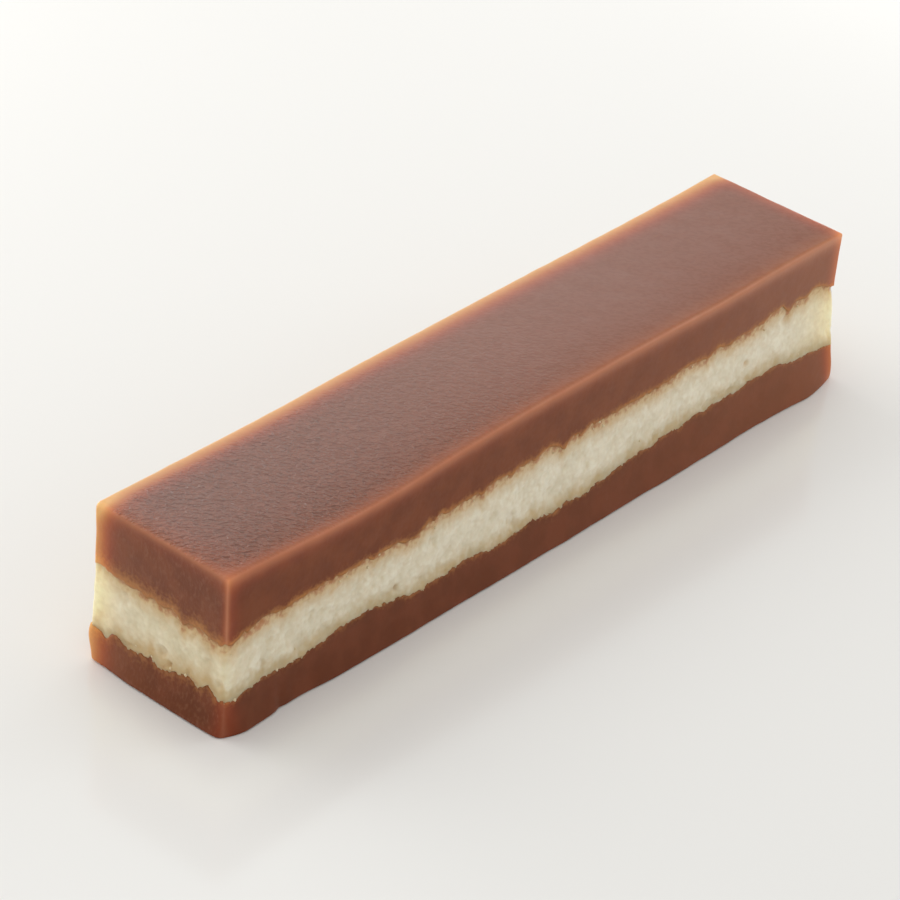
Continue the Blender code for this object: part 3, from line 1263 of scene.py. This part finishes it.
@dataclass
class CrumbBand(Layer):
    """The band of pale crumb between the brown layers.

    Attributes:
        look: How it is stained, lit with painted glow and darkened with painted shade.
        swell_depth: The depth of the broad lumps at which the painted shade between them is full.
        grain_depth: The same for the grains.
        end_calm: How much flatter its lumps are on the ends.
        right_calm: How much flatter they are at the right end of the bar.
        seam_calm: How much flatter they are by a seam.
        level_reach: How far from a seam they are flatter.
        tuck: How far it is drawn in where it runs on behind a brown layer's walls.
        hang: How far it hangs over the lower layer's wall, at the most.
        hang_strength: How strong the broad waves of its hanging rim are.
        fringe_strength: How strong the fine ones are.
        hang_calm: How much less it hangs at the right end.
        lip: How far its hanging rim stands out.
        set_back: How far it has shrunk back under the upper layer.
        torn_start: How high the noise has to be for a hole to be torn.
        torn_slope: How steep such a hole is.
        pits: The place, width and depth of each pit in it.
    """

    masks: tuple[str, ...] = CRUMB_MASKS
    overlap: float = 0.6 * MM
    look: CrumbLook = CrumbLook()
    swell: float = 0.32 * MM
    swell_length: float = 2.8 * MM
    swell_depth: float = 1.9 * MM
    clump: float = 0.1 * MM
    clump_size: float = 1.25 * MM
    grain: float = 0.04 * MM
    grain_size: float = 0.7 * MM
    grain_depth: float = 0.6 * MM
    fluff: float = 0.08 * MM
    fluff_length: float = 0.55 * MM
    end_calm: float = 0.5
    right_calm: float = 0.6
    seam_calm: float = 0.7
    level_reach: float = 0.5 * MM
    tuck: float = 0.12 * MM
    tuck_reach: float = 0.12 * MM
    hang: float = 0.5 * MM
    hang_length: float = 0.75 * MM
    hang_strength: float = 1.4
    fringe_length: float = 0.375 * MM
    fringe_strength: float = 0.5
    hang_calm: float = 0.75
    lip: float = 0.08 * MM
    lip_reach: float = 0.35 * MM
    set_back: float = 0.12 * MM
    set_back_reach: float = 1.6 * MM
    corner_set_back: float = 0.45 * MM
    corner_reach: float = 2.0 * MM
    torn: float = 0.3 * MM
    torn_length: float = 2.4 * MM
    torn_start: float = 0.4
    torn_slope: float = 4.0
    pits: tuple[tuple[Vector, float, float], ...] = (
        (Vector((-33.0, -12.6, 8.1)) * MM, 0.55 * MM, 0.7 * MM),
        (Vector((45.9, -12.6, 11.6)) * MM, 0.5 * MM, 0.35 * MM),
        (Vector((-67.2, -2.6, 6.9)) * MM, 0.4 * MM, 0.4 * MM),
    )

    def relief(self, point: Vector, out: Vector, gap: float) -> float:
        """Lumps and grains of crumb, a rim that hangs over the lower layer, and a few pits.

        Args:
            point: A point of the square block.
            out: The outward direction there.
            gap: How far it is from the nearer end of the band, behind a brown wall.

        Returns:
            How far the surface stands out.
        """
        gap -= self.overlap
        by_seam = fade(gap, self.level_reach)
        calm = clamp(point.x / self.form.length + 0.5) ** 2
        gentle = (1 - self.end_calm * abs(out.x)) * (1 - self.right_calm * calm)
        gentle *= 1 - self.seam_calm * by_seam
        hole = rough(point, self.torn_length, Seed.TORN) - self.torn_start
        torn = clamp(hole * self.torn_slope) * self.torn
        torn *= 1 - by_seam
        low = point.z < (LOWER_JOINT.level + UPPER_JOINT.level) / 2
        ragged = self.hang_strength * rough(point, self.hang_length, Seed.HANGING)
        ragged += self.fringe_strength * rough(point, self.fringe_length, Seed.FRINGE)
        hang = self.hang * clamp(ragged) * (1 - self.hang_calm * calm) if low else 0.0
        shown = clamp(0.5 + (gap + hang) / self.tuck_reach)
        lip = self.lip * shown * fade(gap, self.lip_reach) if low else 0.0
        dents = sum(deep * self.nearness(point, place, wide) for place, wide, deep in self.pits)
        stands = gentle * (self.swelling(point) + self.grains(point)) + lip
        return stands - torn - dents - self.tuck * (1 - shown) - self.shrunk(point)

    def shrunk(self, point: Vector) -> float:
        """How far the crumb has drawn back under the upper layer, most at the right corners.

        Args:
            point: A point of the square block.

        Returns:
            How far it has drawn back there.
        """
        gaps = self.form.gaps(point)
        corner = fade(gaps["right"] + min(gaps["front"], gaps["back"]), self.corner_reach)
        under_top = fade(UPPER_JOINT.level - point.z, self.set_back_reach)
        return (self.set_back + self.corner_set_back * corner) * under_top

    def swelling(self, point: Vector) -> float:
        """The height of the crumb's broad lumps, about 0 on the whole."""
        return self.swell * rough(point, self.swell_length, Seed.SWELLS)

    def grains(self, point: Vector) -> float:
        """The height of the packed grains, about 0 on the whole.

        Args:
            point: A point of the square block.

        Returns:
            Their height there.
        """
        return (
            self.clump * (domes(point, self.clump_size, Seed.CLUMPS) - 0.5)
            + self.grain * (domes(point, self.grain_size, Seed.GRAINS) - 0.5)
            + self.fluff * rough(point, self.fluff_length, Seed.FLUFF)
        )

    @staticmethod
    def nearness(point: Vector, place: Vector, wide: float) -> float:
        """A share that is 1 at a place and dies away over a width."""
        return math.exp(-((point - place).length_squared / wide**2))

    def dress(self, point: Vector, out: Vector) -> dict[str, float]:
        """Syrup stains near both seams, painted glow at the ends and the left back corner, and
        painted shade in the hollows, on the ends and over the lower seam.

        Args:
            point: A point of the square block.
            out: The outward direction there.

        Returns:
            The value of each mask.
        """
        look, end, gaps = self.look, out.x**2, self.form.gaps(point)
        over = max(UPPER_JOINT.smooth_height(point.x, point.y) - point.z, 0.0)
        under = max(point.z - LOWER_JOINT.smooth_height(point.x, point.y), 0.0)
        above = look.upper_stain * bell(over, look.upper_stain_reach)
        flecks = rough(point, look.fleck_length, Seed.FLECKS)
        mean, least = look.patches
        patches = clamp(mean + rough(point, look.patch_length, Seed.PATCHES), least, 1.0)
        below = (patches + look.flecks * flecks) * (look.lower_stain + look.end_stain * end)
        below *= bell(under, look.lower_stain_reach * (1 + look.end_stain_reach * end))
        # Painted glow lightens the left back corner and both ends.
        corner = bell(gaps["left"] + gaps["back"], look.corner_reach)
        right = look.right_painted_glow * bell(gaps["right"], look.right_reach)
        right *= 1 - look.right_end_loss * end * clamp(gaps["front"] / look.right_front_reach)
        left = look.left_painted_glow * fade(gaps["left"], look.left_reach)
        dents = sum(self.nearness(point, place, wide) for place, wide, _ in self.pits)
        to_left = clamp(0.5 - point.x / self.form.length)
        near = look.near_shade * to_left**look.near_power * (1 - end)
        # Painted shade: on the sides, more on the ends, at the left end of the sides, over the
        # lower seam, and between lumps and grains.
        dim = (look.side_shade + look.end_shade * end) * (1 - corner) + near
        dim += (look.seam_shade + look.fleck_shade * flecks) * bell(under, look.seam_shade_reach)
        raised = self.swelling(point) / self.swell_depth
        # The pits are darkened toward the stain's colour.
        stain = max(above, below, look.pit_darkening * dents)
        return {
            "stain": stain * (1 - look.corner_loss * corner),
            # Painted glow at the ends and the left back corner.
            "painted_glow": max(corner, right, left),
            # Painted shade, deepest in the hollows.
            "painted_shade": dim - raised - self.grains(point) / self.grain_depth,
        }


@dataclass
class LooseCrumbs:
    """Small grains and torn tips of crumb that cling along the seams.

    Attributes:
        grains: How many grains there are.
        tips: How many torn tips hang over the lower seam near the corner.
        grain_size: The least and the greatest radius of a grain, in millimetres.
        grain_gap: The least and the greatest height that one is from its seam, in millimetres.
        grain_roughness: How far the noise draws a grain out of round.
        tip_size: The least and the greatest radius of a tip, in millimetres.
        tip_roughness: How far the noise draws a tip out of round.
        tip_stretch: How much longer a tip is at its lower end.
        front_span: Where tips hang on the front side, by x in millimetres.
        end_span: Where they hang on the end, by y in millimetres.
        dressing: The value of each of the crumb's masks on them: stain, painted glow and painted
            shade.
    """

    grains: int = 30
    tips: int = 5
    grain_size: tuple[float, float] = (0.12, 0.22)
    grain_gap: tuple[float, float] = (0.1, 1.6)
    grain_roughness: float = 0.5
    grain_wave: float = 0.6 * MM
    tip_size: tuple[float, float] = (0.14, 0.26)
    tip_roughness: float = 0.3
    tip_wave: float = 0.5 * MM
    tip_stretch: float = 0.9
    front_span: tuple[float, float] = (-65.5, -54)
    end_span: tuple[float, float] = (-11, 6)
    # Painted glow and painted shade are given to the loose crumbs too.
    dressing: tuple[float, float, float] = (0.25, 0.4, 0.5)
    seed: int = 11
    form: BlockForm = BlockForm()
    name: str = "loose_crumbs"

    def build(self, material: bpy.types.Material, offset: Vector) -> bpy.types.Object:
        """Make every grain and tip in one piece.

        Args:
            material: The crumb's finish.
            offset: What brings the block's outline over the origin.

        Returns:
            The finished piece, riding on the root body.
        """
        mesh = bmesh.new()
        layers = [mesh.verts.layers.float.new(mask) for mask in CRUMB_MASKS]
        chance = random.Random(self.seed)
        for _ in range(self.grains):
            self.add_grain(mesh, chance)
        for number in range(self.tips):
            self.add_tip(mesh, chance, number)
        for vert in mesh.verts:
            vert.co += offset
            for layer, value in zip(layers, self.dressing):
                vert[layer] = value
        bmesh.ops.recalc_face_normals(mesh, faces=mesh.faces)
        piece = make_piece(self.name, mesh, material)
        piece.data.shade_smooth()
        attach(piece, "root")
        return piece

    def on_wall(self, along: float) -> Vector:
        """A point at the foot of the square block's walls.

        Args:
            along: The share of the way round, from the front side's left end.

        Returns:
            The point.
        """
        form = self.form
        length, width = form.length - 2 * form.edge_radius, form.width - 2 * form.edge_radius
        run = (along % 1.0) * 2 * (length + width)
        if run < length:
            spot = (run - length / 2, -form.width / 2, 0.0)
        elif run < length + width:
            spot = (form.length / 2, run - length - width / 2, 0.0)
        elif run < 2 * length + width:
            spot = (length / 2 - (run - length - width), form.width / 2, 0.0)
        else:
            spot = (-form.length / 2, width / 2 - (run - 2 * length - width), 0.0)
        return Vector(spot)

    def add_grain(self, mesh: bmesh.types.BMesh, chance: random.Random) -> None:
        """Set one grain into the crumb near a seam.

        Args:
            mesh: What it is added to.
            chance: Where its place, size and shape are drawn from.
        """
        spot = self.on_wall(chance.random())
        joint, side = (UPPER_JOINT, -1) if chance.random() < 0.5 else (LOWER_JOINT, 1)
        spot.z = joint.height(spot.x, spot.y) + side * chance.uniform(*self.grain_gap) * MM
        size = chance.uniform(*self.grain_size) * MM
        made = bmesh.ops.create_icosphere(mesh, subdivisions=2, radius=size)["verts"]
        turned, out = self.form.rounded(spot)
        centre = self.form.slumped(turned) - out * size * 0.5
        seed = chance.uniform(0, 50)
        for vert in made:
            bumps = self.grain_roughness * rough(vert.co, self.grain_wave, seed)
            vert.co = centre + vert.co * (1 + bumps)

    def add_tip(self, mesh: bmesh.types.BMesh, chance: random.Random, number: int) -> None:
        """Hang one torn tip over the lower seam, on the front side or the end by the corner.

        Args:
            mesh: What it is added to.
            chance: Where its place, size and shape are drawn from.
            number: Its place in the row: each third one is on the end.
        """
        form = self.form
        if number % 3:
            spot = Vector((chance.uniform(*self.front_span) * MM, -form.width / 2, 0.0))
        else:
            spot = Vector((-form.length / 2, chance.uniform(*self.end_span) * MM, 0.0))
        size = chance.uniform(*self.tip_size) * MM
        spot.z = LOWER_JOINT.height(spot.x, spot.y)
        turned, out = form.rounded(spot)
        centre = form.slumped(turned) - out * size * 0.3
        made = bmesh.ops.create_icosphere(mesh, subdivisions=2, radius=size)["verts"]
        lean = chance.uniform(0.2, 0.8)
        seed = chance.uniform(0, 50)
        for vert in made:
            vert.co *= 1 + self.tip_roughness * rough(vert.co, self.tip_wave, seed)
            low = clamp(-vert.co.z / size)
            vert.co.z *= 1 + self.tip_stretch * low
            vert.co.x = vert.co.x * (1 - 0.5 * low) + lean * size * low
            vert.co += centre


@dataclass
class Bar:
    """The whole bar: three layers and the crumbs that cling to them.

    Attributes:
        offset: What brings the block over the origin, as the CAD part's own outline is.
    """

    brown: BrownUiro
    # The lower layer's finish: the brown painted darker, as painted shade near the board.
    shaded_lower_brown: BrownUiro
    crumb: PaleCrumb
    offset: Vector = Vector((-0.15 * MM, 0.55 * MM, 0.0))

    def build(self) -> list[bpy.types.Object]:
        """Build every piece in order.

        Returns:
            The finished pieces.
        """
        lower = BrownLayer(
            name="lower_uiro",
            node="uiro_bottom",
            slot=Slot.BROWN,
            lattice=Lattice((112, 20, 4), 4, hemmed=True),
            over=LOWER_JOINT,
            look=LOWER_LOOK,
        )
        band = CrumbBand(
            name="crumb_band",
            node="crumb_middle",
            slot=Slot.CRUMB,
            lattice=Lattice((134, 25, 10), 5),
            under=LOWER_JOINT,
            over=UPPER_JOINT,
        )
        upper = BrownLayer(
            name="upper_uiro",
            node="uiro_top",
            slot=Slot.BROWN,
            lattice=Lattice((112, 20, 8), 4, skin_on_top=True, hemmed=True),
            under=UPPER_JOINT,
            look=UPPER_LOOK,
        )
        pieces = [
            lower.build(self.shaded_lower_brown.build(), self.offset),
            band.build(self.crumb.build(), self.offset),
            upper.build(self.brown.build(), self.offset),
        ]
        loose = PaleCrumb(glow=0.0, name="loose dry crumb").build()
        pieces.append(LooseCrumbs().build(loose, self.offset))
        return pieces


@dataclass
class Studio:
    """The board, the soft lights and the camera.

    Attributes:
        azimuth: How far the camera is turned round the bar, in degrees.
        elevation: How far it looks down, in degrees.
        roll: How far it is turned about its own view, in degrees.
        distance: How far it is from what it looks at.
        aim: What it looks at.
        lens: Its focal length in millimetres.
    """

    azimuth: float = -50.881
    elevation: float = 32.746
    roll: float = -4.31
    distance: float = 597.4 * MM
    aim: Vector = Vector((-5.92 * MM, 2.30 * MM, 12.0 * MM))
    lens: float = 165.63
    board_reach: float = 3.0

    def build(self, board: PaleBoard) -> None:
        """Set the studio up round the bar.

        Args:
            board: The board's finish.
        """
        self.add_board(board)
        self.add_camera()
        self.add_lights()

    def add_board(self, board: PaleBoard) -> None:
        """Lay a wide board under the bar.

        Args:
            board: The board's finish.
        """
        mesh = bmesh.new()
        bmesh.ops.create_grid(mesh, x_segments=8, y_segments=8, size=self.board_reach)
        floor = make_piece("board", mesh, board.build())

    def add_camera(self) -> None:
        """Stand the camera where the picture was taken from."""
        turn, rise = math.radians(self.azimuth), math.radians(self.elevation)
        flat = math.cos(rise)
        back = Vector((math.sin(turn) * flat, -math.cos(turn) * flat, math.sin(rise)))
        data = bpy.data.cameras.new("camera")
        data.lens = self.lens
        data.sensor_width = 36.0
        data.clip_start, data.clip_end = 0.01, 20.0
        camera = bpy.data.objects.new("camera", data)
        camera.rotation_mode = "QUATERNION"
        camera.location = self.aim + back * self.distance
        level = (-back).to_track_quat("-Z", "Y")
        camera.rotation_quaternion = Quaternion(back, -math.radians(self.roll)) @ level
        bpy.context.scene.collection.objects.link(camera)
        bpy.context.scene.camera = camera

    def add_light(
        self,
        name: str,
        spot: Vector,
        size: tuple[float, float],
        power: float,
        colour: str = "#FFFFFF",
    ) -> None:
        """Set up one softbox that faces the bar.

        Args:
            name: What it is.
            spot: Where its middle is.
            size: Its width and height.
            power: Its power in watts.
            colour: The colour of its light.
        """
        data = bpy.data.lights.new(name, "AREA")
        data.shape = "RECTANGLE"
        data.size, data.size_y = size
        data.energy = power
        data.color = linear(colour)[:3]
        light = bpy.data.objects.new(name, data)
        light.rotation_mode = "QUATERNION"
        light.location = spot
        light.rotation_quaternion = (Vector((0, 0, 0.01)) - spot).to_track_quat("-Z", "Y")
        bpy.context.scene.collection.objects.link(light)

    def add_lights(self) -> None:
        """Light the bar from behind and above, with a pale room round it."""
        self.add_light("back softbox", Vector((-0.12, 0.50, 0.36)), (0.55, 0.5), 0.96, "#FFFDF8")
        self.add_light("top softbox", Vector((0.1, 0.3, 0.8)), (0.8, 0.8), 0.88)
        self.add_light("side card", Vector((0.46, -0.30, 0.18)), (0.25, 0.25), 0.35)
        self.add_light("low back card", Vector((-0.05, 0.32, 0.035)), (0.3, 0.06), 0.33)
        self.add_light("low end card", Vector((0.32, 0.06, 0.035)), (0.12, 0.06), 0.2)
        world = bpy.data.worlds.new("pale room")
        world.use_nodes = True
        glow = world.node_tree.nodes["Background"]
        glow.inputs["Color"].default_value = linear("#FBFBFA")
        glow.inputs["Strength"].default_value = 0.75
        bpy.context.scene.world = world
        bpy.context.scene.view_settings.view_transform = "Standard"


def main() -> None:
    """Build the bar, its finishes and the studio."""
    logging.basicConfig(level=logging.INFO, format="%(message)s")
    # The lower layer is a darker copy of the brown, painted darker as painted shade near the board.
    shaded_lower_brown = BrownUiro(
        body="#763F26",
        body_dark="#6C3920",
        body_painted_lit="#A66C4E",
        name="steamed brown rice cake, lower layer",
    )
    pieces = Bar(BrownUiro(), shaded_lower_brown, PaleCrumb()).build()
    LOG.info("the bar has %d pieces", len(pieces))
    Studio().build(PaleBoard())


if __name__ == "__main__":
    main()
